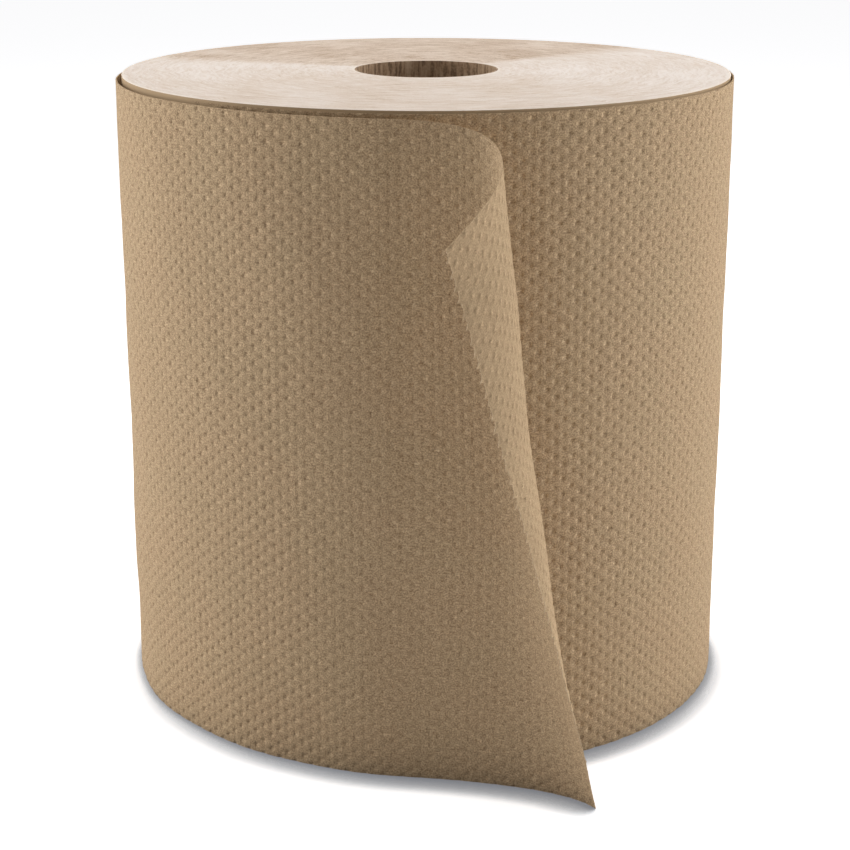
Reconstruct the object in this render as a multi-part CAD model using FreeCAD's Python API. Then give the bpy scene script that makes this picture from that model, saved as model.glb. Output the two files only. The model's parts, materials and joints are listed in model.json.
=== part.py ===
import FreeCAD, Part
import math
import os

from FreeCAD import Vector

# A roll of paper towel standing on its end, with its outer turn hanging loose.
# Millimetres and degrees. The origin is the centre of the lower end, on the roll's axis, and +Z
# runs up the axis. The front is -Y. An azimuth is measured from the front towards +X.

# Wound body
roll_height = 200.0
body_radius = 97.3

# Paperboard core
bore_radius = 22.5
core_wall = 0.6
core_glue_gap = 0.05

# Turns that show on the sawn ends, as one spiral groove
groove_turns = 4
groove_width = 1.4
groove_depth = 0.5
groove_margin = 4.0

# Loose outer turn
sheet = 0.4
edge_drop = 1.7
merge_azimuth = -45.0
slot_azimuth = 45.0
settle_arc = 45.0
settled_gap = 0.05
slack_per_turn = 1.6
lift_arc = 40.0
lift_rise = 3.0
lift_power = 1.3
release_azimuth = -5.5

# Free tail: its lower edge lies on the floor line, its upper edge curls forward and down
lower_length = 66.0
lower_curl = 50.7
lower_power = 3.36
upper_length = 85.0
upper_curl = 151.2
upper_power = 1.1
upper_dip = 43.3
dip_power = 1.4
ruling_fan = 0.76

# Tear edge
tooth_pitch = 4.2
tooth_depth = 1.0
tooth_tip = 0.5

# Fineness of the formulas' curves: degrees of web in one arc, panels of the tail along its length
# and up its height, and steps along each of its edges
web_step = 30.0
tail_panels = 8
tail_bands = 2
path_steps = 80

# Share of the tail's length over which the sheet's direction at the tear edge is taken
tear_sight = 0.03

web_height = roll_height - edge_drop
paper_bore = bore_radius + core_wall + core_glue_gap
release_turn = 360.0 + release_azimuth - merge_azimuth


def polar(radius, azimuth, z=0.0):
    a = math.radians(azimuth)
    return Vector(radius * math.sin(a), -radius * math.cos(a), z)


# Radius of the web's outer face by the angle wound since it left the body: it rises by its own
# thickness, gains slack evenly, and lifts off as a power of the last arc before it is released.
def web_radius(turned):
    settle = min(turned / settle_arc, 1.0)
    rise = (sheet + settled_gap) * settle * settle * (3.0 - 2.0 * settle)
    lifted = max(turned - (release_turn - lift_arc), 0.0) / lift_arc
    return body_radius + rise + slack_per_turn * turned / 360.0 + lift_rise * lifted ** lift_power


def web_point(turned, inset=0.0):
    return polar(web_radius(turned) - inset, merge_azimuth + turned)


# Heading of the web where it is released, towards the viewer from +X.
def release_heading():
    small = 0.01
    growth = (web_radius(release_turn) - web_radius(release_turn - small)) / math.radians(small)
    return -release_azimuth + math.degrees(math.atan2(growth, web_radius(release_turn)))


# Horizontal unit vector square to a heading, on the side where the roll is.
def roll_side(heading):
    a = math.radians(heading)
    return Vector(math.sin(a), math.cos(a), 0.0)


def direction(heading, dip):
    a = math.radians(heading)
    b = math.radians(dip)
    return Vector(math.cos(b) * math.cos(a), -math.cos(b) * math.sin(a), -math.sin(b))


# Smooth curve that passes each point at its share of the way.
def spline(points, shares):
    curve = Part.BSplineCurve()
    curve.interpolate(Points=points, Parameters=shares)
    return curve


def line(a, b):
    return Part.LineSegment(a, b).toShape()


def ring(outer, inner, height, z=0.0):
    disc = Part.makeCylinder(outer, height, Vector(0, 0, z))
    return disc.cut(Part.makeCylinder(inner, height, Vector(0, 0, z)))


def spread(first, last, step):
    count = max(2, round(abs(last - first) / step))
    return [first + (last - first) * i / count for i in range(count + 1)]


# One face of the web in plan, as a chain of arcs whose ends and middles lie on the web's spiral.
def web_arcs(first, last, inset=0.0, end=None):
    turns = spread(first, last, web_step)
    points = [web_point(t, inset) for t in turns]
    if end:
        points[-1] = end
    middles = [web_point((a + b) / 2.0, inset) for a, b in zip(turns, turns[1:])]
    return [Part.Arc(a, m, b).toShape() for a, m, b in zip(points, middles, points[1:])]


# Plan of the body with its last turn and a bit: the web's outer face from its release back to
# where it leaves the body, round the body to the slot's end, and out again along the inner face.
def web_plan():
    released = web_point(release_turn)
    inner_end = released + roll_side(release_heading()) * sheet
    slot_turn = slot_azimuth - merge_azimuth
    outer = web_arcs(release_turn, 0.0)
    inner = web_arcs(slot_turn, release_turn, sheet, inner_end)
    slot_foot = polar(body_radius, slot_azimuth)
    middle = (merge_azimuth - 360.0 + slot_azimuth) / 2.0
    body = Part.Arc(web_point(0.0), polar(body_radius, middle), slot_foot).toShape()
    slot_end = line(slot_foot, web_point(slot_turn, sheet))
    edges = outer + [body, slot_end] + inner + [line(inner_end, released)]
    hole = Part.Wire(Part.makeCircle(paper_bore))
    return Part.Face([Part.Wire(edges), hole])


def wound_body():
    web = web_plan().extrude(Vector(0, 0, web_height))
    sawn_end = ring(body_radius, paper_bore, edge_drop, web_height)
    return web.fuse(sawn_end)


# Flat spiral strip in half turns about two centres, so each side is a chain of true arcs.
def turn_strip(z, depth):
    first = paper_bore + groove_margin
    last = body_radius - groove_margin - groove_width
    half_pitch = (last - first) / (2 * groove_turns)
    sides = []
    for offset in (0.0, groove_width):
        arcs = []
        for half in range(2 * groove_turns):
            way = 1 if half % 2 == 0 else -1
            radius = first + half_pitch * (half + 0.5) + offset
            centre = Vector(half_pitch / 2 * way, 0, z)
            start = centre + Vector(-radius * way, 0, 0)
            crest = centre + Vector(0, radius * way, 0)
            end = centre + Vector(radius * way, 0, 0)
            arcs.append(Part.Arc(start, crest, end).toShape())
        sides.append(arcs)
    inner, outer = sides
    opening = line(inner[0].Vertexes[0].Point, outer[0].Vertexes[0].Point)
    closing = line(inner[-1].Vertexes[-1].Point, outer[-1].Vertexes[-1].Point)
    wire = Part.Wire(Part.__sortEdges__(inner + [closing] + outer + [opening]))
    return Part.Face(wire).extrude(Vector(0, 0, depth))


# Point on an edge of the tail at a share of its length. The heading turns as a power of the
# share, and so does the dip.
def edge_point(start, share, length, curl, power, dip=0.0, dip_law=1.0):
    point = Vector(start)
    heading = release_heading()
    step = share / path_steps
    for i in range(path_steps):
        s = (i + 0.5) * step
        point = point + direction(heading + curl * s ** power, dip * s ** dip_law) * (length * step)
    return point


def lower_point(share):
    return edge_point(web_point(release_turn), share, lower_length, lower_curl, lower_power)


def upper_point(share):
    start = web_point(release_turn) + Vector(0, 0, web_height)
    return edge_point(start, share, upper_length, upper_curl, upper_power, upper_dip, dip_power)


# The lower edge is met faster at first, so the straight rulings fan out towards the upper corner.
def lower_share(share):
    return share + ruling_fan * share * (1.0 - share)


# Where one ruling of the tail meets both edges, with the way through the sheet at each.
def ruling(share):
    low_share = lower_share(share)
    low = lower_point(low_share)
    high = upper_point(share)
    low_side = roll_side(release_heading() + lower_curl * low_share ** lower_power)
    heading = release_heading() + upper_curl * share ** upper_power
    along = direction(heading, upper_dip * share ** dip_power)
    high_side = (high - low).cross(along).normalize()
    if high_side.dot(roll_side(heading)) < 0:
        high_side = high_side * -1
    return low, high, low_side, high_side


# A place on a ruling: its share of the way up, and how far through the sheet.
def ruling_point(edges, level, depth):
    low, high, low_side, high_side = edges
    foot = low + low_side * depth
    return foot + (high + high_side * depth - foot) * level


# The tail as a closed skin. Its rails run from the roll to the tear edge, first up the outer face
# and then down the inner one, with ruled panels between them, and strips close the two ends.
def tail_sheet():
    shares = [i / tail_panels for i in range(tail_panels + 1)]
    levels = [i / tail_bands for i in range(tail_bands + 1)]
    rulings = [ruling(s) for s in shares]
    rails = [[ruling_point(r, level, 0.0) for r in rulings] for level in levels]
    rails += [[ruling_point(r, level, sheet) for r in rulings] for level in reversed(levels)]
    curves = [spline(rail, shares) for rail in rails]
    faces = []
    for first, last in zip(shares, shares[1:]):
        edges = [curve.toShape(first, last) for curve in curves]
        faces += [Part.makeRuledSurface(a, b) for a, b in zip(edges, edges[1:] + edges[:1])]
    for end in (0, -1):
        for k in range(tail_bands):
            outside = line(rails[k][end], rails[k + 1][end])
            inside = line(rails[-1 - k][end], rails[-2 - k][end])
            faces.append(Part.makeRuledSurface(outside, inside))
    return closed_solid(faces)


def closed_solid(faces):
    skin = Part.makeShell(faces)
    skin.sewShape()
    solid = Part.Solid(Part.Shell(skin.Faces))
    if solid.Volume < 0:
        solid.reverse()
    return solid


# Wedge that cuts one notch. Its point lies a tooth's depth back from the tear edge, and it widens
# out past the edge. Up runs along the edge and back runs into the sheet.
def notch(foot, up, back, half_width):
    point = foot + back * tooth_depth
    mouth = foot - back * tooth_depth
    flare = up * (2 * half_width)
    through = up.cross(back)
    corners = [c - through * (2 * sheet) for c in (point, mouth + flare, mouth - flare)]
    face = Part.Face(Part.makePolygon(corners + corners[:1]))
    return face.extrude(through * (4 * sheet))


# Notches between the teeth of the tear edge, evenly spaced, each square to the sheet at its place.
def tear_notches():
    low, high = ruling(1.0)[:2]
    low_before, high_before = ruling(1.0 - tear_sight)[:2]
    up = (high - low).normalize()
    edge_length = (high - low).Length
    count = round(edge_length / tooth_pitch)
    half_width = (edge_length / count - tooth_tip) / 2.0
    notches = []
    for i in range(count):
        place = (i + 0.5) / count
        foot = low + (high - low) * place
        back = low_before + (high_before - low_before) * place - foot
        back = (back - up * back.dot(up)).normalize()
        notches.append(notch(foot, up, back, half_width))
    return notches


def paper_roll():
    tail = tail_sheet().cut(tear_notches())
    roll = wound_body().fuse(tail)
    roll = roll.cut(turn_strip(roll_height - groove_depth, groove_depth))
    return roll.cut(turn_strip(0.0, groove_depth))


def core():
    return ring(bore_radius + core_wall, bore_radius, roll_height)


def write(name, shape):
    shape = shape.removeSplitter()
    solids = shape.Solids
    if len(solids) == 1:
        shape = solids[0]
    print(name, "solids", len(solids), "faces", len(shape.Faces), "valid", shape.isValid(),
          "volume", round(shape.Volume, 1))
    shape.exportStep("parts/" + name + ".step")


os.makedirs("parts", exist_ok=True)
write("core", core())
write("paper_roll", paper_roll())
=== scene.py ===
import json

import bpy
import numpy as np
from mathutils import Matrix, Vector


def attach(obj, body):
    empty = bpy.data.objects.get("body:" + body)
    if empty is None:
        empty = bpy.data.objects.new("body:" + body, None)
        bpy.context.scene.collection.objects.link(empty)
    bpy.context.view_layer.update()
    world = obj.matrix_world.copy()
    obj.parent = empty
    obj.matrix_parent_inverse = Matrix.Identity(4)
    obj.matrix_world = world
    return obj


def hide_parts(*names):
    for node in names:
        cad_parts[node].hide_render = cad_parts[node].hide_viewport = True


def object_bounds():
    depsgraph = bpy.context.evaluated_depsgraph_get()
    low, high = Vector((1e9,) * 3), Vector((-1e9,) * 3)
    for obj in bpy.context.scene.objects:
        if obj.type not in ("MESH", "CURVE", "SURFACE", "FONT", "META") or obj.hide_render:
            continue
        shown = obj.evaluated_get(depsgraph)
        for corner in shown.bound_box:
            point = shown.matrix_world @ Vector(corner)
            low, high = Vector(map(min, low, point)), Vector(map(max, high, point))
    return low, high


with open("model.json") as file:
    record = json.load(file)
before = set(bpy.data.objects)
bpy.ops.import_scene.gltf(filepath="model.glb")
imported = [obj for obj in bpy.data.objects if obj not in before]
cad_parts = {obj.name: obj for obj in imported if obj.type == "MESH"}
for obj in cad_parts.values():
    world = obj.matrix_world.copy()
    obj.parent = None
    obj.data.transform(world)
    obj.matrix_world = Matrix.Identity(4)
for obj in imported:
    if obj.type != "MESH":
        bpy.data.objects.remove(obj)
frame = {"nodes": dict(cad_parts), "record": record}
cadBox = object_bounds()
mm = 0.001
rollHeight = cadBox[1].z
boreMount = next(m for m in frame["record"]["mounts"] if m["kind"] == "bore")
boreRadius = boreMount["dims"]["r_mm"] * mm
print("frame loaded, roll height", round(rollHeight / mm, 1), "mm")


# sRGB hex colour to linear, each channel by the standard curve
def hexColour(text):
    value = np.array([int(text[i:i + 2], 16) for i in (1, 3, 5)]) / 255.0
    linear = np.where(value <= 0.04045, value / 12.92, ((value + 0.055) / 1.055) ** 2.4)
    return (*linear.tolist(), 1.0)


# 0 below low, 1 above high, and a smooth cubic ramp between
def ramp(x, low, high):
    t = np.clip((x - low) / (high - low), 0.0, 1.0)
    return t * t * (3.0 - 2.0 * t)


# Smooth random field: the sum of a few sine waves of random heading and phase. Each has the given
# wavelength, give or take a third, and the sum is scaled to stay mostly within -1 and 1.
def softNoise(a, b, wavelength, seed, waves=9):
    rng = np.random.default_rng(seed)
    total = np.zeros(np.broadcast(a, b).shape)
    for _ in range(waves):
        heading = rng.uniform(0.0, 2.0 * np.pi)
        length = wavelength * rng.uniform(0.7, 1.35)
        phase = rng.uniform(0.0, 2.0 * np.pi)
        way = a * np.cos(heading) + b * np.sin(heading)
        total = total + np.sin(2.0 * np.pi * way / length + phase)
    return total / np.sqrt(waves)


def unit(vectors):
    return vectors / np.linalg.norm(vectors, axis=-1, keepdims=True)


# Point at a radius and an azimuth in degrees, measured from the front towards +X
def polar(radius, azimuth, z):
    a = np.radians(azimuth)
    return np.stack(np.broadcast_arrays(radius * np.sin(a), -radius * np.cos(a), z), -1)


# Place on a line of points by its share of the way, straight between the points
def along(points, shares, wanted):
    return np.stack([np.interp(wanted, shares, points[:, i]) for i in range(3)], -1)


# Unit vectors of a grid along its columns, up its rows and out of it: its two gradients and
# their cross product
def gridFrame(points):
    across, up = np.gradient(points, axis=0), np.gradient(points, axis=1)
    return unit(across), unit(up), unit(np.cross(across, up))


# Faces of a grid of columns by rows; a closed grid joins its last column to its first
def gridFaces(columns, rows, closeColumns=False, closeRows=False):
    i = np.arange(columns if closeColumns else columns - 1)[:, None]
    j = np.arange(rows if closeRows else rows - 1)[None]
    iNext = (i + 1) % columns
    jNext = (j + 1) % rows
    corners = [i * rows + j, iNext * rows + j, iNext * rows + jNext, i * rows + jNext]
    return np.stack(np.broadcast_arrays(*corners), -1).reshape(-1, 4)


# One object of the scene that holds a mesh, lamp or camera
def newObject(name, data):
    thing = bpy.data.objects.new(name, data)
    bpy.context.scene.collection.objects.link(thing)
    return thing


# One smooth-shaded piece of paper from grid points and faces. It takes a normal for each corner
# of its faces and its attributes where it has them.
def makePiece(name, points, faces, materials, corners=None, attributes=None):
    mesh = bpy.data.meshes.new(name)
    mesh.from_pydata(points.reshape(-1, 3), [], faces)
    mesh.polygons.foreach_set("use_smooth", np.ones(len(mesh.polygons), bool))
    for key, values in (attributes or {}).items():
        layer = mesh.attributes.new(key, "FLOAT_VECTOR", "POINT")
        layer.data.foreach_set("vector", values.astype(np.float32).ravel())
    if corners is not None:
        mesh.normals_split_custom_set(corners)
    for material in materials:
        mesh.materials.append(material)
    piece = newObject(name, mesh)
    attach(piece, "root")
    print("made", name, len(mesh.polygons), "faces")
    return piece


# The loose outer turn of the roll, with the sizes of the solid it stands for
web = {
    "bodyRadius": 97.3 * mm,
    "edgeDrop": 1.7 * mm,        # how far its upper edge lies below the sawn end, at the tail
    "startDrop": 0.95 * mm,      # and where it leaves the body
    "dropArc": (150.0, 290.0),   # degrees wound between the two
    "sheet": 0.4 * mm,
    "paper": 0.2 * mm,           # the sheet itself, without its emboss
    "settledGap": 0.05 * mm,
    "settleArc": 45.0,
    "slackPerTurn": 1.6 * mm,
    "mergeAzimuth": -45.0,
    "releaseAzimuth": -5.5,
    "liftArc": 40.0,
    "liftRise": 3.0 * mm,
    "liftPower": 1.3,
    "wave": 0.22 * mm,           # slow waves of paper that nothing holds flat
    "waveLength": 55.0 * mm,
    "heldWave": 0.3,             # part of a wave that is left where the sheet lies on the body
    "looseFrom": 150.0 * mm,     # length wound before the sheet starts to come loose
    "crepe": 0.05 * mm,          # fine creping, drawn out up the roll
    "crepeLength": 9.0 * mm,
    "crepeStretch": 0.35,
    "crepeWaves": 14,            # how many waves make up the creping
    "seeds": (11, 12),           # of the waves and the creping
    "trackSteps": 4000,
    "innerStep": 18,             # rows of the hidden inner face are this many times further apart
}
webHeight = rollHeight - web["edgeDrop"]
releaseTurn = 360.0 + web["releaseAzimuth"] - web["mergeAzimuth"]


# Radius of the web's outer face by the angle wound, in degrees: the body's radius, plus the
# sheet's own rise, plus slack in proportion, plus a power of the last arc before the release.
def webRadius(turned):
    rise = (web["sheet"] + web["settledGap"]) * ramp(turned, 0.0, web["settleArc"])
    slack = web["slackPerTurn"] * turned / 360.0
    lifted = np.maximum(turned - (releaseTurn - web["liftArc"]), 0.0) / web["liftArc"]
    return web["bodyRadius"] + rise + slack + web["liftRise"] * lifted ** web["liftPower"]


# Heading of the web where it is released, in degrees towards the viewer from +X: square to its
# azimuth, turned by the slope of its radius
def releaseHeading():
    small = 0.01
    growth = (webRadius(releaseTurn) - webRadius(releaseTurn - small)) / np.radians(small)
    return -web["releaseAzimuth"] + np.degrees(np.arctan2(growth, webRadius(releaseTurn)))


# The free end of the sheet, which curls forward and down, and its tear
tail = {
    "lowerLength": 66.0 * mm, "lowerCurl": 50.7, "lowerPower": 3.36,
    "upperLength": 85.0 * mm, "upperCurl": 151.2, "upperPower": 1.1,
    "upperDip": 43.3, "dipPower": 1.4,
    "rulingFan": 0.76,
    "edgeSteps": 1200,
    "columns": 130,
    "curlStretch": 0.06,         # the emboss is a little longer where the sheet curls over
    "curlRise": 0.5,             # part of the height that it takes to get there
    "held": 0.55,                # how much the outer face's shading keeps to the roll's
    "heldReach": (22.0 * mm, 50.0 * mm),   # before the fold, as paper bends late and sharply
    "heldInner": 0.35,           # how much the inner face's shading keeps to the torn end's
    "heldRise": 12.0 * mm,       # length past the release over which both set in
    "toothPitch": 4.2 * mm,
    "toothDepth": 1.4 * mm,
    "toothLeast": 0.7,           # the shallowest tooth's part of that depth
    "toothStart": (0.1, 0.45),   # where in its pitch a tooth may start
    "toothShare": 0.36,          # part of the pitch that a tooth takes up
    "fray": 0.14 * mm,
    "smoothFoot": (8.0 * mm, 45.0 * mm),   # heights between which the barbs fade out
    "tearSeed": 41,
    "tearReach": 0.75,           # columns past this part of the tail move with the tear
    "tearSight": 0.03,           # part of the tail over which the sheet's way at the tear is taken
}


# An edge of the tail: the running sum of small steps whose heading and dip both turn as a power
# of the share of the length gone. It gives the points and their shares.
def tailEdge(length, curl, power, dip, dipPower, z):
    steps = tail["edgeSteps"]
    middle = (np.arange(steps) + 0.5) / steps
    heading = np.radians(releaseHeading() + curl * middle ** power)
    fall = np.radians(dip * middle ** dipPower)
    way = np.stack([np.cos(fall) * np.cos(heading), -np.cos(fall) * np.sin(heading),
                    -np.sin(fall)], -1)
    start = polar(webRadius(releaseTurn), web["releaseAzimuth"], z)
    points = np.vstack([start, start + np.cumsum(way, 0) * length / steps])
    return points, np.arange(steps + 1) / steps


# Share of the lower edge that a ruling starts from, by its share of the upper one: the lower edge
# is met faster at first, so the rulings fan out towards the upper corner.
def fanned(share):
    return share + tail["rulingFan"] * share * (1.0 - share)


# Tear line: how far back from its furthest reach the sheet ends at each height. Each tooth is a
# short barb whose depth differs from the next one's, and loose fibres roughen all of it. Both
# fade out towards the foot.
def tearLine(z):
    rng = np.random.default_rng(tail["tearSeed"])
    turn = z / tail["toothPitch"]
    tooth = np.floor(turn).astype(int)
    depth = tail["toothDepth"] * rng.uniform(tail["toothLeast"], 1.0, tooth.max() + 1)[tooth]
    start = rng.uniform(*tail["toothStart"], tooth.max() + 1)[tooth]
    inTooth = (turn - tooth - start) / tail["toothShare"]
    barb = np.where((inTooth > 0.0) & (inTooth < 1.0), 1.0 - inTooth, 0.0)
    fibres = tail["fray"] * np.abs(rng.normal(0.0, 1.0, z.shape))
    return tail["toothDepth"] - ramp(z, *tail["smoothFoot"]) * (depth * barb - fibres)


# The pattern that steel rolls press into the sheet
emboss = {
    "across": 5.76 * mm,         # dimple to dimple round the roll, with another row halfway
    "up": 4.64 * mm,
    "cellsAcross": 8,            # grid cells to one repeat of the pattern
    "cellsUp": 8,
    "size": 0.7 * mm,            # radius at which a dimple has lost most of its depth
    "depth": 0.22 * mm,          # pressed into the mesh
    "shade": 0.68 * mm,          # depth that its shading shows
    "drift": 0.12 * mm,          # how far creping moves a dimple off its lattice
    "driftLengths": (10.0 * mm, 8.0 * mm),
    "even": 0.95,                # mean depth, how much it varies, and the least and most
    "uneven": 0.13,
    "depthRange": (0.6, 1.3),
    "unevenLength": 7.0 * mm,
    "seeds": (31, 32, 33),       # of the two drifts and the depth
    "tailShare": 0.6,            # depth that is left where the free end was pulled flat
    "pulledFlat": (-45.0 * mm, 5.0 * mm),   # where that sets in, from the release
}


# Depth of the emboss, 0 to 1, and its slopes along u and z: a round bell at every point of a
# staggered lattice
def dimples(u, z):
    total = np.zeros((3, *u.shape))
    for shift in (0.0, 0.5):
        du = ((u / emboss["across"] + shift + 0.5) % 1.0 - 0.5) * emboss["across"]
        dz = ((z / emboss["up"] + shift + 0.5) % 1.0 - 0.5) * emboss["up"]
        bell = np.exp(-(du ** 2 + dz ** 2) / emboss["size"] ** 2)
        steep = -2.0 * bell / emboss["size"] ** 2
        total += np.stack([bell, steep * du, steep * dz])
    return total


# The wound part of the sheet as a grid: its columns stand a fixed length apart on the spiral that
# webRadius gives, and its rows share out the height under the upper edge. It gives the points, and
# the length and the height at each.
def woundGrid(v):
    fine = np.linspace(0.0, releaseTurn, web["trackSteps"])
    track = polar(webRadius(fine), web["mergeAzimuth"] + fine, 0.0)
    steps = np.linalg.norm(np.diff(track, axis=0), axis=1)
    length = np.concatenate([[0.0], np.cumsum(steps)])
    columns = int(round(length[-1] / (emboss["across"] / emboss["cellsAcross"])))
    u = np.linspace(0.0, length[-1], columns + 1)
    turned = np.interp(u, length, fine)
    fall = (web["edgeDrop"] - web["startDrop"]) * ramp(turned, *web["dropArc"])
    height = v[None] * (rollHeight - web["startDrop"] - fall)[:, None]
    azimuth = web["mergeAzimuth"] + turned
    points = polar(webRadius(turned)[:, None], azimuth[:, None], height)
    return points, np.tile(u[:, None], (1, len(v))), height


# The tail as a grid from the release on: its columns are straight rulings from the lower edge to
# the upper one, drawn back towards the end by the tear line over the sheet's pace there. The
# length runs on from the release and follows the lower edge at the foot and the upper one above.
def tailGrid(v, releaseLength):
    low, lowShares = tailEdge(tail["lowerLength"], tail["lowerCurl"], tail["lowerPower"],
                              0.0, 1.0, 0.0)
    high, highShares = tailEdge(tail["upperLength"], tail["upperCurl"], tail["upperPower"],
                                tail["upperDip"], tail["dipPower"], webHeight)
    ends = np.array([1.0 - tail["tearSight"], 1.0])
    lowWay = np.diff(along(low, lowShares, fanned(ends)), axis=0) / tail["tearSight"]
    highWay = np.diff(along(high, highShares, ends), axis=0) / tail["tearSight"]
    pace = np.linalg.norm(lowWay * (1.0 - v)[:, None] + highWay * v[:, None], axis=1)
    cut = tearLine(v * webHeight) / pace
    share = (np.arange(tail["columns"]) + 1.0) / tail["columns"]
    share = share[:, None] * (1.0 - cut[None] * ramp(share, tail["tearReach"], 1.0)[:, None])
    lowPoint = along(low, lowShares, fanned(share))
    highPoint = along(high, highShares, share)
    points = lowPoint + (highPoint - lowPoint) * v[None, :, None]
    lowLength = tail["lowerLength"] * fanned(share)
    highLength = tail["upperLength"] * (share + tail["curlStretch"] * share ** 3)
    u = releaseLength + lowLength + (highLength - lowLength) * ramp(v, 0.0, tail["curlRise"])
    return points, u, np.tile(v * webHeight, (tail["columns"], 1))


# A stretch of the sheet as a closed skin. Its loop goes up the outer face and down the inner face,
# whose rows are every so many of the outer ones, strips close both edges, and caps close both
# ends. The faces keep the normals they are given, and each edge and cap has one of its own.
def sheetPiece(name, outer, inner, outerNormals, innerNormals, outerPlace, innerPlace, materials):
    loop = np.concatenate([outer, inner[:, ::-1]], 1)
    normals = np.concatenate([outerNormals, innerNormals[:, ::-1]], 1)
    where = np.concatenate([outerPlace, innerPlace[:, ::-1]], 1)
    columns, rows = loop.shape[:2]
    outerRows = outer.shape[1]
    quads = gridFaces(columns, rows, closeRows=True)
    corners = normals.reshape(-1, 3)[quads].reshape(columns - 1, rows, 4, 3)
    corners[:, outerRows - 1] = unit(outer[:-1, -1] - outer[:-1, -2])[:, None]
    corners[:, rows - 1] = unit(outer[:-1, 0] - outer[:-1, 1])[:, None]
    every = (outerRows - 1) // (inner.shape[1] - 1)
    strip = np.arange(inner.shape[1] - 1)[:, None]
    firstCap = np.hstack([strip * every + np.arange(every + 1), rows - 2 - strip,
                          rows - 1 - strip])
    lastCap = firstCap[:, ::-1] + (columns - 1) * rows
    firstWay = unit(outer[0] - outer[1])[strip[:, 0] * every]
    lastWay = unit(outer[-1] - outer[-2])[strip[:, 0] * every]
    capCorners = np.repeat(np.concatenate([firstWay, lastWay]), firstCap.shape[1], axis=0)
    corners = np.concatenate([corners.reshape(-1, 3), capCorners])
    faces = quads.tolist() + firstCap.tolist() + lastCap.tolist()
    piece = makePiece(name, loop, faces, materials, corners, {"sheetPlace": where})
    isEnd = np.arange(len(faces)) >= len(quads)
    piece.data.polygons.foreach_set("material_index", isEnd.astype(np.int32))
    return piece


# The loose sheet: its grid, moved by slow waves and fine creping, with the emboss pressed in from
# outside. The lattice drifts a little with the creping, and its depth varies from place to place.
# The normals are those of a deeper emboss than the mesh has, as it shows in low side light. The
# attribute holds the place on the lattice and the depth, below 0 outside and above 0 inside.
def makeWeb(materials):
    rowHeight = emboss["up"] / emboss["cellsUp"]
    rows = web["innerStep"] * int(round(webHeight / rowHeight / web["innerStep"]))
    v = np.linspace(0.0, 1.0, rows + 1)
    wound = woundGrid(v)
    releaseLength, releaseColumn = wound[1][-1, 0], len(wound[1]) - 1
    points, u, z = (np.concatenate(pair) for pair in zip(wound, tailGrid(v, releaseLength)))

    out = gridFrame(points)[2]
    loose = ramp(u, web["looseFrom"], releaseLength)
    wave = softNoise(u, z, web["waveLength"], web["seeds"][0]) * (web["heldWave"] + loose)
    crepe = softNoise(u, z * web["crepeStretch"], web["crepeLength"], web["seeds"][1],
                      web["crepeWaves"])
    smooth = points + out * (web["wave"] * wave + web["crepe"] * crepe)[..., None]

    driftSeedU, driftSeedZ, depthSeed = emboss["seeds"]
    latticeU = u + emboss["drift"] * softNoise(u, z, emboss["driftLengths"][0], driftSeedU)
    latticeZ = z + emboss["drift"] * softNoise(u, z, emboss["driftLengths"][1], driftSeedZ)
    varied = emboss["uneven"] * softNoise(u, z, emboss["unevenLength"], depthSeed)
    depth = np.clip(emboss["even"] + varied, *emboss["depthRange"])
    pressed, slopeU, slopeZ = depth * dimples(latticeU, latticeZ)
    beyond = u - releaseLength
    flat = 1.0 - (1.0 - emboss["tailShare"]) * ramp(beyond, *emboss["pulledFlat"])
    outer = smooth - out * (emboss["depth"] * pressed * flat)[..., None]
    inner = smooth - out * (web["paper"] + emboss["depth"] * pressed)[..., None]
    hidden = smooth - out * (web["paper"] + emboss["depth"])

    across, up, away = gridFrame(smooth)
    tilt = emboss["shade"] * (across * slopeU[..., None] + up * slopeZ[..., None])
    setIn = ramp(beyond, 0.0, tail["heldRise"])[..., None]
    held = tail["held"] * setIn * (1.0 - ramp(beyond, *tail["heldReach"]))[..., None]
    facing = unit(away + held * (away[releaseColumn] - away))
    normals = unit(facing + tilt * flat[..., None])
    innerNormals = -unit(away + tail["heldInner"] * setIn * (away[-1] - away) + tilt)
    outerPlace = np.stack([latticeU, latticeZ, -depth * flat], -1)
    innerPlace = np.stack([latticeU, latticeZ, depth], -1)

    names = ("outerTurnRight", "outerTurnBackRight", "outerTurnBackLeft", "outerTurnLeft",
             "freeTail")
    cuts = [int(round(releaseColumn * k / 4.0)) for k in range(5)] + [len(u) - 1]
    made = []
    for name, first, last in zip(names, cuts, cuts[1:]):
        span = slice(first, last + 1)
        isFree = name == "freeTail"
        kept = slice(None, None, 1 if isFree else web["innerStep"])
        back = inner if isFree else hidden
        made.append(sheetPiece(name, outer[span], back[span][:, kept], normals[span],
                               innerNormals[span][:, kept], outerPlace[span],
                               innerPlace[span][:, kept], materials))
    return made


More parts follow.
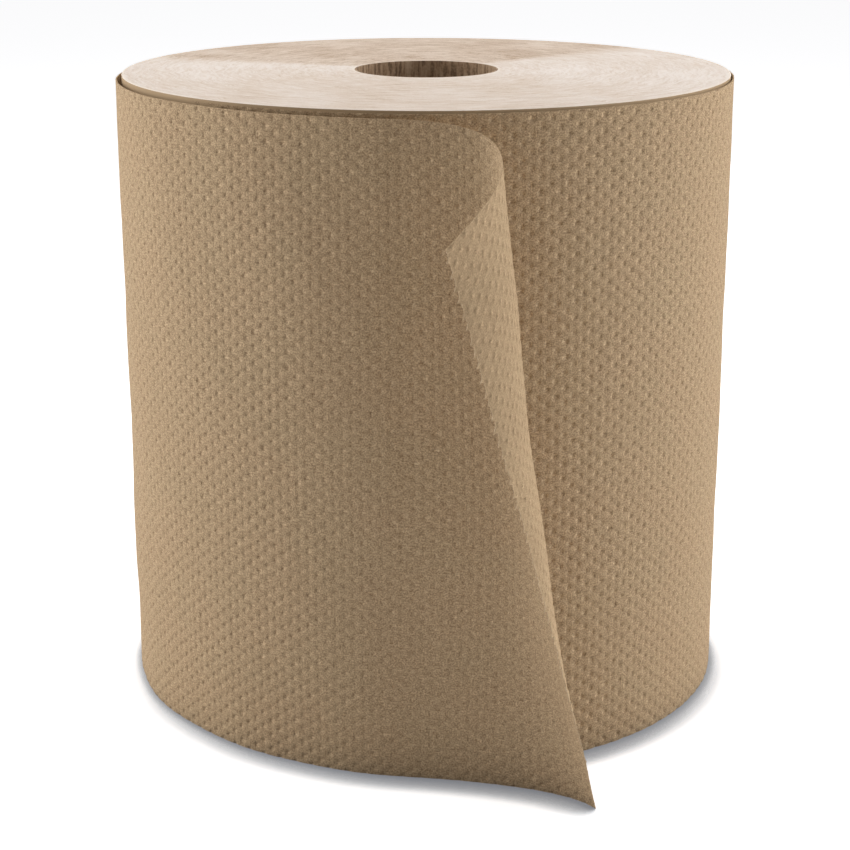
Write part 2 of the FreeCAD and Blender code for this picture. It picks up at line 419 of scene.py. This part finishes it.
# The wound turns, cut square at both ends
body = {
    "boreGap": 0.65 * mm,        # the core's wall and its glue
    "inset": 0.02 * mm,          # how far it stays under the loose turn
    "rim": 0.3 * mm,
    "rimBends": (30.0, 60.0),    # degrees round the rim at which it has a ring
    "topRings": 176,
    "lowRings": 54,
    "sideRows": 12,
    "spokes": 240,
    "turnRelief": 0.05 * mm,     # unevenness from turn to turn, fine and broad
    "fineTurns": 1.9 * mm,
    "broadTurns": 4.3 * mm,
    "broadShare": 0.8,
    "acrossShare": (0.03, 0.05),   # how much both also change across the roll
    "spiral": 0.35 * mm,         # how far the turns drift outwards in one turn
    "slump": 0.225 * mm,         # height of the wedges where turns lean over
    "wedgeRadius": 60.0 * mm,
    "wedgeLength": 62.0 * mm,
    "wedgeSkew": 0.15,           # how far a wedge turns from a straight radius
    "boreFade": (1.0 * mm, 12.0 * mm),   # past the bore, where the relief sets in
    "rimFade": (0.5 * mm, 6.0 * mm),     # in from the rim, the same
    "waves": (12, 9, 7),         # how many waves make up fine turns, broad ones and wedges
    "lowerShare": 0.5,           # the lower end's relief goes inwards only, and half as deep
    "seeds": (21, 22, 23),       # of the fine turns, the broad ones and the wedges
}


# Height of the cut end over its plane: uneven turns, as waves along the radius that drift with the
# azimuth as a spiral does, and wedges where the saw pressed the turns over, as waves of azimuth.
# It fades out at the bore and at the rim.
def endRelief(radius, azimuth):
    turn = radius + azimuth / (2.0 * np.pi) * body["spiral"]
    x, y = radius * np.cos(azimuth), radius * np.sin(azimuth)
    fineAcross, broadAcross = x * body["acrossShare"][0], y * body["acrossShare"][1]
    wedgeX = np.cos(azimuth) * body["wedgeRadius"] + body["wedgeSkew"] * radius
    wedgeY = np.sin(azimuth) * body["wedgeRadius"]
    places = ((turn, fineAcross, body["fineTurns"]), (turn, broadAcross, body["broadTurns"]),
              (wedgeX, wedgeY, body["wedgeLength"]))
    fine, broad, wedge = (softNoise(*place, seed, waves)
                          for place, seed, waves in zip(places, body["seeds"], body["waves"]))
    inside = ramp(radius - boreRadius, *body["boreFade"])
    edge = ramp(web["bodyRadius"] - radius, *body["rimFade"])
    turns = body["turnRelief"] * (fine + body["broadShare"] * broad)
    return inside * edge * (turns + body["slump"] * wedge)


# The wound body turned about the axis: its profile runs up the bore, out over the top end, round
# the rim, down the side and in over the lower end
def makeBody(materials):
    bore = boreRadius + body["boreGap"]
    outside = web["bodyRadius"] - body["inset"]
    rim = body["rim"]
    top = np.linspace(bore, outside - rim, body["topRings"])
    low = np.linspace(outside - rim, bore, body["lowRings"])
    bend = np.radians(body["rimBends"])
    rimRadius = outside - rim + rim * np.sin(bend)
    rimDrop = rim * (1.0 - np.cos(bend))
    side = np.linspace(rollHeight - rim, rim, body["sideRows"])
    radius = np.concatenate([top, rimRadius, np.full(len(side), outside), rimRadius[::-1], low])
    height = np.concatenate([np.full(len(top), rollHeight), rollHeight - rimDrop, side,
                             rimDrop[::-1], np.zeros(len(low))])
    azimuth = np.arange(body["spokes"])[:, None] / body["spokes"] * 2.0 * np.pi
    relief = endRelief(radius[None], azimuth)
    place = np.arange(len(radius))
    isTop = place < len(top)
    isLow = place >= len(radius) - len(low)
    z = height + relief * isTop - np.minimum(relief, 0.0) * body["lowerShare"] * isLow
    points = polar(radius[None], np.degrees(azimuth), z)
    faces = gridFaces(len(azimuth), len(radius), closeColumns=True, closeRows=True)
    piece = makePiece("woundTurns", points, faces[:, ::-1].tolist(), materials)
    isSide = (place > len(top)) & (place < len(top) + 2 + len(side))
    piece.data.polygons.foreach_set("material_index",
                                    np.tile(isSide, len(azimuth)).astype(np.int32))
    return piece


# One node with its settings and links. A setting named stops sets a colour ramp's, from the lowest
# up. An input takes a value, another node's output, or another node for its first output.
def addNode(tree, kind, settings=None, inputs=None):
    node = tree.nodes.new(kind)
    for key, value in (settings or {}).items():
        if key != "stops":
            setattr(node, key, value)
            continue
        elements = node.color_ramp.elements
        for i, (place, colour) in enumerate(value):
            stop = elements[i] if i < 2 else elements.new(place)
            stop.position, stop.color = place, hexColour(colour)
    for key, value in (inputs or {}).items():
        if isinstance(value, bpy.types.Node):
            value = value.outputs[0]
        if isinstance(value, bpy.types.NodeSocket):
            tree.links.new(value, node.inputs[key])
        else:
            node.inputs[key].default_value = value
    return node


def newMaterial(name):
    material = bpy.data.materials.new(name)
    material.use_nodes = True
    material.node_tree.nodes.clear()
    return material, material.node_tree


paperIor = 1.45                  # cellulose, and the glue and fillers in board
kraft = {
    "fibres": ((0.4, "#82694e"), (0.62, "#d8bd99")),   # tone of the grain, dark to light
    "clouds": ((0.4, "#b09575"), (0.62, "#ac9676")),   # reddish to greyish
    "cloudShare": 0.2,
    "speck": "#5f4a36",
    "speckSize": 1.3 * mm,
    "speckRange": (0.735, 0.79),
    "speckShare": 0.55,
    "inside": "#d3b58f",         # the web's inner face is a little paler
    "insideShare": 0.4,
    "fibre": 0.5 * mm,
    "curl": 1.6 * mm,            # loose clumps of fibre
    "curlShare": 0.22,
    "mottle": 22.0 * mm,
    "grain": 0.07 * mm,          # height of the fibres over the sheet
    "roughness": 0.9,
    "shine": 0.2,
    "through": 0.08,             # share of the light that passes through the sheet
}


# Unbleached kraft tissue, creped on a drying drum and embossed by steel rolls: matt, warm grey
# brown, with a fine grain of short fibres, cloudy tone and a few dark specks of bark. Fibres are
# drawn about twice their real width. The emboss is in the mesh.
def kraftPaper():
    material, tree = newMaterial("embossedKraftPaper")
    place = addNode(tree, "ShaderNodeAttribute", {"attribute_name": "sheetPlace"})
    part = addNode(tree, "ShaderNodeSeparateXYZ", None, {0: place.outputs["Vector"]}).outputs
    flat = addNode(tree, "ShaderNodeCombineXYZ", None, {0: part[0], 1: part[1]})
    fibre = addNode(tree, "ShaderNodeTexNoise", None,
                    {"Vector": flat, "Scale": 1.0 / kraft["fibre"], "Detail": 3.0,
                     "Roughness": 0.75})
    curl = addNode(tree, "ShaderNodeTexNoise", None,
                   {"Vector": flat, "Scale": 1.0 / kraft["curl"], "Detail": 4.0,
                    "Roughness": 0.6})
    mottle = addNode(tree, "ShaderNodeTexNoise", None,
                     {"Vector": flat, "Scale": 1.0 / kraft["mottle"], "Detail": 1.5})
    curls = addNode(tree, "ShaderNodeMath", {"operation": "MULTIPLY"},
                    {0: curl, 1: kraft["curlShare"]})
    grain = addNode(tree, "ShaderNodeMath", {"operation": "MULTIPLY_ADD"},
                    {0: fibre, 1: 1.0 - kraft["curlShare"], 2: curls})
    tone = addNode(tree, "ShaderNodeValToRGB", {"stops": kraft["fibres"]}, {"Fac": grain})
    cloud = addNode(tree, "ShaderNodeValToRGB", {"stops": kraft["clouds"]}, {"Fac": mottle})
    plain = addNode(tree, "ShaderNodeMix", {"data_type": "RGBA"},
                    {"Factor": kraft["cloudShare"], 6: tone, 7: cloud})
    isInside = addNode(tree, "ShaderNodeMath", {"operation": "GREATER_THAN"}, {0: part[2], 1: 0.0})
    paling = addNode(tree, "ShaderNodeMath", {"operation": "MULTIPLY"},
                     {0: isInside, 1: kraft["insideShare"]})
    paled = addNode(tree, "ShaderNodeMix", {"data_type": "RGBA"},
                    {"Factor": paling, 6: plain.outputs[2], 7: hexColour(kraft["inside"])})
    bark = addNode(tree, "ShaderNodeTexNoise", None,
                   {"Vector": flat, "Scale": 1.0 / kraft["speckSize"], "Detail": 1.0,
                    "Distortion": 1.5})
    isBark = addNode(tree, "ShaderNodeMapRange", None,
                     {"Value": bark, "From Min": kraft["speckRange"][0],
                      "From Max": kraft["speckRange"][1], "To Max": kraft["speckShare"]})
    colour = addNode(tree, "ShaderNodeMix", {"data_type": "RGBA"},
                     {"Factor": isBark, 6: paled.outputs[2], 7: hexColour(kraft["speck"])})
    rough = addNode(tree, "ShaderNodeBump", None,
                    {"Height": grain, "Strength": 1.0, "Distance": kraft["grain"]})
    surface = addNode(tree, "ShaderNodeBsdfPrincipled", None,
                      {"Base Color": colour.outputs[2], "Roughness": kraft["roughness"],
                       "IOR": paperIor, "Specular IOR Level": kraft["shine"], "Normal": rough})
    back = addNode(tree, "ShaderNodeBsdfTranslucent", None,
                   {"Color": colour.outputs[2], "Normal": rough})
    both = addNode(tree, "ShaderNodeMixShader", None, {0: kraft["through"], 1: surface, 2: back})
    addNode(tree, "ShaderNodeOutputMaterial", None, {"Surface": both})
    return material


tornEdge = {
    "tones": ((0.35, "#a98e6e"), (0.6, "#d6c0a2")),
    "fibre": 0.7 * mm,
    "grain": 0.1 * mm,
    "roughness": 0.95,
    "shine": 0.15,
}


# The torn end of the sheet: the same paper seen end on, matt and paler where fibres stand out.
# Fibres are drawn about three times their real width.
def frayedEdge():
    material, tree = newMaterial("frayedPaperEdge")
    spot = addNode(tree, "ShaderNodeTexCoord").outputs["Object"]
    fibre = addNode(tree, "ShaderNodeTexNoise", None,
                    {"Vector": spot, "Scale": 1.0 / tornEdge["fibre"], "Detail": 3.0,
                     "Roughness": 0.7})
    tone = addNode(tree, "ShaderNodeValToRGB", {"stops": tornEdge["tones"]}, {"Fac": fibre})
    rough = addNode(tree, "ShaderNodeBump", None,
                    {"Height": fibre, "Strength": 0.6, "Distance": tornEdge["grain"]})
    surface = addNode(tree, "ShaderNodeBsdfPrincipled", None,
                      {"Base Color": tone, "Roughness": tornEdge["roughness"], "IOR": paperIor,
                       "Specular IOR Level": tornEdge["shine"], "Normal": rough})
    addNode(tree, "ShaderNodeOutputMaterial", None, {"Surface": surface})
    return material


sawnEnd = {
    "tones": ((0.37, "#b0957d"), (0.46, "#dbc8b6"), (0.58, "#f0e5dc")),
    "level": 0.47,               # moves all of it towards the pale tones
    "line": 0.9 * mm,            # across the turns
    "lineLength": 8.0 * mm,      # along them, at the radius below
    "lineRadius": 60.0 * mm,
    "lineShare": 0.34,
    "sway": 5.0 * mm,            # how far a line leaves its turn
    "swayLength": 7.0 * mm,
    "cloud": 30.0 * mm,
    "cloudShare": 0.3,
    "cloudOnEdge": 0.14,         # how ragged clouds make the edge of a sector
    "shadeAndCloudShare": 0.5,          # of the painted shade sectors and the clouds in the tone
    "fleck": 0.7 * mm,
    "fleckShare": 0.12,
    # painted shade, at the front and the back: sectors drawn darker, as the sawn turns reflect
    # less of the side light there; the way to the middle from +X to +Y, the cosines from it
    # between which the sector sets in, and its tone
    "paintedShadeSectors": ((265.0, (0.32, 0.92), -0.075), (100.0, (0.49, 0.63), -0.19)),
    "rimWidth": 0.7 * mm,
    "rimFade": 0.3 * mm,
    "rimShare": 0.6,
    "rim": "#f4e8da",
    "boreRim": (1.6 * mm, 1.2 * mm),   # past the bore, where the pale ring ends and is full
    "lineGroove": 0.75,          # share of the lines in the bump
    "groove": 0.5 * mm,
    "roughness": 0.95,
    "shine": 0.15,
}


# The sawn end of the wound web: hundreds of paper edges side by side, paler than the sheet because
# the saw frays their fibres. Fine broken lines follow the turns, drawn wider than the 0.15 mm
# turns themselves, and soft clouds vary the tone. Sectors at the front and the back are painted
# shade: drawn darker, as the sawn turns reflect less of the side light there than at the sides.
def sawnPaper():
    material, tree = newMaterial("sawnPaperEnd")
    spot = addNode(tree, "ShaderNodeTexCoord").outputs["Object"]
    part = addNode(tree, "ShaderNodeSeparateXYZ", None, {0: spot}).outputs
    flat = addNode(tree, "ShaderNodeCombineXYZ", None, {0: part[0], 1: part[1]})
    radius = addNode(tree, "ShaderNodeVectorMath", {"operation": "LENGTH"},
                     {0: flat}).outputs["Value"]
    around = addNode(tree, "ShaderNodeVectorMath", {"operation": "NORMALIZE"}, {0: flat})
    turn = addNode(tree, "ShaderNodeVectorMath", {"operation": "SCALE"},
                   {0: around, "Scale": sawnEnd["lineRadius"] / sawnEnd["lineLength"]})
    turnPart = addNode(tree, "ShaderNodeSeparateXYZ", None, {0: turn}).outputs
    sway = addNode(tree, "ShaderNodeTexNoise", None,
                   {"Vector": flat, "Scale": 1.0 / sawnEnd["swayLength"], "Detail": 2.0})
    swayed = addNode(tree, "ShaderNodeMath", {"operation": "MULTIPLY_ADD"},
                     {0: sway, 1: sawnEnd["sway"], 2: radius})
    turnCount = addNode(tree, "ShaderNodeMath", {"operation": "DIVIDE"},
                        {0: swayed, 1: sawnEnd["line"]})
    strokes = addNode(tree, "ShaderNodeCombineXYZ", None,
                      {0: turnPart[0], 1: turnPart[1], 2: turnCount})
    lines = addNode(tree, "ShaderNodeTexNoise", None,
                    {"Vector": strokes, "Scale": 1.0, "Detail": 4.0, "Roughness": 0.7})
    cloud = addNode(tree, "ShaderNodeTexNoise", None,
                    {"Vector": flat, "Scale": 1.0 / sawnEnd["cloud"], "Detail": 3.0,
                     "Distortion": 0.4})
    fleck = addNode(tree, "ShaderNodeTexNoise", None,
                    {"Vector": flat, "Scale": 1.0 / sawnEnd["fleck"], "Detail": 3.0,
                     "Roughness": 0.7})

    level = sawnEnd["level"]
    # Painted shade: each sector at the front and the back is drawn darker in tone
    for degrees, (low, high), paintedShade in sawnEnd["paintedShadeSectors"]:
        way = np.radians(degrees)
        facing = addNode(tree, "ShaderNodeVectorMath", {"operation": "DOT_PRODUCT"},
                         {0: around, 1: (np.cos(way), np.sin(way), 0.0)}).outputs["Value"]
        ragged = addNode(tree, "ShaderNodeMath", {"operation": "MULTIPLY_ADD"},
                         {0: cloud, 1: sawnEnd["cloudOnEdge"], 2: facing})
        inPaintedShadeSector = addNode(tree, "ShaderNodeMapRange", None,
                           {"Value": ragged, "From Min": low, "From Max": high})
        level = addNode(tree, "ShaderNodeMath", {"operation": "MULTIPLY_ADD"},
                        {0: inPaintedShadeSector, 1: paintedShade, 2: level})
    # painted shade of the darker sectors, with soft clouds of tone
    wedge = addNode(tree, "ShaderNodeMath", {"operation": "MULTIPLY_ADD"},
                    {0: cloud, 1: sawnEnd["cloudShare"], 2: level})
    flecks = addNode(tree, "ShaderNodeMath", {"operation": "MULTIPLY"},
                     {0: fleck, 1: sawnEnd["fleckShare"]})
    shaded = addNode(tree, "ShaderNodeMath", {"operation": "MULTIPLY_ADD"},
                     {0: wedge, 1: sawnEnd["shadeAndCloudShare"], 2: flecks})
    mixed = addNode(tree, "ShaderNodeMath", {"operation": "MULTIPLY_ADD"},
                    {0: lines, 1: sawnEnd["lineShare"], 2: shaded})
    tone = addNode(tree, "ShaderNodeValToRGB", {"stops": sawnEnd["tones"]}, {"Fac": mixed})

    outside = web["bodyRadius"] - sawnEnd["rimWidth"]
    outerRim = addNode(tree, "ShaderNodeMapRange", None,
                       {"Value": radius, "From Min": outside - sawnEnd["rimFade"],
                        "From Max": outside})
    innerRim = addNode(tree, "ShaderNodeMapRange", None,
                       {"Value": radius, "From Min": boreRadius + sawnEnd["boreRim"][0],
                        "From Max": boreRadius + sawnEnd["boreRim"][1]})
    isRim = addNode(tree, "ShaderNodeMath", {"operation": "MAXIMUM"}, {0: outerRim, 1: innerRim})
    rimming = addNode(tree, "ShaderNodeMath", {"operation": "MULTIPLY"},
                      {0: isRim, 1: sawnEnd["rimShare"]})
    rimmed = addNode(tree, "ShaderNodeMix", {"data_type": "RGBA"},
                     {"Factor": rimming, 6: tone, 7: hexColour(sawnEnd["rim"])})
    pits = addNode(tree, "ShaderNodeMath", {"operation": "MULTIPLY"},
                   {0: fleck, 1: 1.0 - sawnEnd["lineGroove"]})
    uneven = addNode(tree, "ShaderNodeMath", {"operation": "MULTIPLY_ADD"},
                     {0: lines, 1: sawnEnd["lineGroove"], 2: pits})
    grooves = addNode(tree, "ShaderNodeBump", None,
                      {"Height": uneven, "Strength": 1.0, "Distance": sawnEnd["groove"]})
    surface = addNode(tree, "ShaderNodeBsdfPrincipled", None,
                      {"Base Color": rimmed.outputs[2], "Roughness": sawnEnd["roughness"],
                       "IOR": paperIor, "Specular IOR Level": sawnEnd["shine"],
                       "Normal": grooves})
    addNode(tree, "ShaderNodeOutputMaterial", None, {"Surface": surface})
    return material


coreBoard = {
    "tones": ((0.4, "#79624b"), (0.5, "#a4876b"), (0.63, "#bca286")),
    "crease": 1.5 * mm,          # across the tube
    "creaseShare": 0.75,
    "drawnOut": 0.14,            # fineness of the creases along the tube over that across it
    "fibre": 0.8 * mm,
    "relief": 0.6 * mm,
    "roughness": 0.85,
    "shine": 0.3,
}


# Recycled paperboard, wound and glued into a tube: brown, matt, with close dark creases along it
# where the layers pucker
def paperboard():
    material, tree = newMaterial("woundPaperboard")
    spot = addNode(tree, "ShaderNodeTexCoord").outputs["Object"]
    upright = addNode(tree, "ShaderNodeMapping", None,
                      {"Vector": spot, "Scale": (1.0, 1.0, coreBoard["drawnOut"])})
    crease = addNode(tree, "ShaderNodeTexNoise", None,
                     {"Vector": upright, "Scale": 1.0 / coreBoard["crease"], "Detail": 3.0,
                      "Roughness": 0.6})
    fibre = addNode(tree, "ShaderNodeTexNoise", None,
                    {"Vector": spot, "Scale": 1.0 / coreBoard["fibre"], "Detail": 4.0})
    fibres = addNode(tree, "ShaderNodeMath", {"operation": "MULTIPLY"},
                     {0: fibre, 1: 1.0 - coreBoard["creaseShare"]})
    mixed = addNode(tree, "ShaderNodeMath", {"operation": "MULTIPLY_ADD"},
                    {0: crease, 1: coreBoard["creaseShare"], 2: fibres})
    tone = addNode(tree, "ShaderNodeValToRGB", {"stops": coreBoard["tones"]}, {"Fac": mixed})
    bump = addNode(tree, "ShaderNodeBump", None,
                   {"Height": mixed, "Strength": 0.8, "Distance": coreBoard["relief"]})
    surface = addNode(tree, "ShaderNodeBsdfPrincipled", None,
                      {"Base Color": tone, "Roughness": coreBoard["roughness"], "IOR": paperIor,
                       "Specular IOR Level": coreBoard["shine"], "Normal": bump})
    addNode(tree, "ShaderNodeOutputMaterial", None, {"Surface": surface})
    return material


studio = {
    "lens": 83.52,
    "pitch": 16.91,
    "camera": (-0.4 * mm, -641.85 * mm, 275.07 * mm),
    "ambient": 0.385,
    "sideStrength": 9.4,
    "sidePlace": (0.9, 0.07, 0.12),
    "sideSize": (0.5, 0.9),
    "topStrength": 5.2,
    "topPlace": (0.0, 0.25, 1.1),
    "topSize": (0.9, 0.9),
    "floorReach": 6.0,
    "floorDrop": 0.02 * mm,
    "floorGlow": 0.66,
    "floorTones": ((0.42, "#7b7e85"), (0.6, "#989a9d"), (0.73, "#cdcfd2"), (0.84, "#f5f5f6")),
    "contact": 3.0 * mm,         # reach of the dark line under the foot
    "contactRange": (0.5, 0.8),  # open sky at which it is darkest, and how much light that leaves
    "cast": 12.0 * mm,           # reach of the shadow at the front
    "castWay": (-0.16, 0.96, 0.2),   # middle of the half of the sky that it looks at
    "looks": 12,                 # samples of each occlusion
}


# 1 for rays that come from the camera, also by way of a mirror or through glass, and 0 for others
def seenBy(tree):
    path = addNode(tree, "ShaderNodeLightPath").outputs
    relayed = addNode(tree, "ShaderNodeMath", {"operation": "MAXIMUM"},
                      {0: path["Is Glossy Ray"], 1: path["Is Transmission Ray"]})
    return addNode(tree, "ShaderNodeMath", {"operation": "MAXIMUM"},
                   {0: path["Is Camera Ray"], 1: relayed})


# A pale floor that the object shadows. Seen straight, it glows a little so that it reads as white,
# and it is darker and bluer where the object blocks most of the sky close by: the sky overhead for
# the line under the foot, and the sky behind for the shadow at the front.
def makeFloor():
    material, tree = newMaterial("paleFloor")
    close = addNode(tree, "ShaderNodeAmbientOcclusion", {"samples": studio["looks"]},
                    {"Distance": studio["contact"]})
    way = addNode(tree, "ShaderNodeCombineXYZ", None, dict(enumerate(studio["castWay"])))
    aside = addNode(tree, "ShaderNodeAmbientOcclusion", {"samples": studio["looks"]},
                    {"Distance": studio["cast"], "Normal": way})
    lined = addNode(tree, "ShaderNodeMapRange", None,
                    {"Value": close.outputs["AO"], "From Min": studio["contactRange"][0],
                     "To Min": studio["contactRange"][1]})
    sky = addNode(tree, "ShaderNodeMath", {"operation": "MULTIPLY"},
                  {0: lined, 1: aside.outputs["AO"]})
    tone = addNode(tree, "ShaderNodeValToRGB", {"stops": studio["floorTones"]}, {"Fac": sky})
    strength = addNode(tree, "ShaderNodeMath", {"operation": "MULTIPLY"},
                       {0: seenBy(tree), 1: studio["floorGlow"]})
    matt = addNode(tree, "ShaderNodeBsdfDiffuse", None, {"Color": tone})
    glow = addNode(tree, "ShaderNodeEmission", None, {"Color": tone, "Strength": strength})
    both = addNode(tree, "ShaderNodeAddShader", None, {0: matt, 1: glow})
    addNode(tree, "ShaderNodeOutputMaterial", None, {"Surface": both})
    reach = studio["floorReach"]
    corners = [(-reach, -reach), (reach, -reach), (reach, reach), (-reach, reach)]
    mesh = bpy.data.meshes.new("floor")
    mesh.from_pydata([(x, y, -studio["floorDrop"]) for x, y in corners], [], [(0, 1, 2, 3)])
    mesh.materials.append(material)
    newObject("floor", mesh)


# White to the camera, and a lower even level of light on the object
def makeWorld():
    world = bpy.data.worlds.new("studioWorld")
    bpy.context.scene.world = world
    world.use_nodes = True
    tree = world.node_tree
    tree.nodes.clear()
    level = addNode(tree, "ShaderNodeMix", {"data_type": "FLOAT"},
                    {"Factor": seenBy(tree), 2: studio["ambient"], 3: 1.0})
    light = addNode(tree, "ShaderNodeBackground", None,
                    {"Color": (1.0, 1.0, 1.0, 1.0), "Strength": level})
    addNode(tree, "ShaderNodeOutputWorld", None, {"Surface": light})


# A soft rectangular lamp at a place, turned to face the middle of the roll
def addLamp(name, place, size, power):
    lamp = bpy.data.lights.new(name, "AREA")
    lamp.shape = "RECTANGLE"
    lamp.size, lamp.size_y = size
    lamp.energy = power
    holder = newObject(name, lamp)
    holder.location = place
    facing = Vector((0.0, 0.0, rollHeight / 2.0)) - Vector(place)
    holder.rotation_euler = facing.to_track_quat("-Z", "Y").to_euler()


def makeCamera():
    data = bpy.data.cameras.new("photoCamera")
    data.lens = studio["lens"]
    camera = newObject("photoCamera", data)
    camera.location = studio["camera"]
    camera.rotation_euler = (np.radians(90.0 - studio["pitch"]), 0.0, 0.0)
    bpy.context.scene.camera = camera


makeCamera()
makeFloor()
makeWorld()
sideX, sideY, sideZ = studio["sidePlace"]
addLamp("lampLeft", (-sideX, sideY, sideZ), studio["sideSize"], studio["sideStrength"])
addLamp("lampRight", (sideX, sideY, sideZ), studio["sideSize"], studio["sideStrength"])
addLamp("lampTop", studio["topPlace"], studio["topSize"], studio["topStrength"])
bpy.context.scene.view_settings.view_transform = "Standard"
print("stage, lamps and camera set")

paper = kraftPaper()
pieces = makeWeb([paper, frayedEdge()])
pieces.append(makeBody([sawnPaper(), paper]))
for piece in pieces:
    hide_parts("paper_roll")
core = frame["nodes"]["core"]
core.data.materials.clear()
core.data.materials.append(paperboard())
print("materials set")
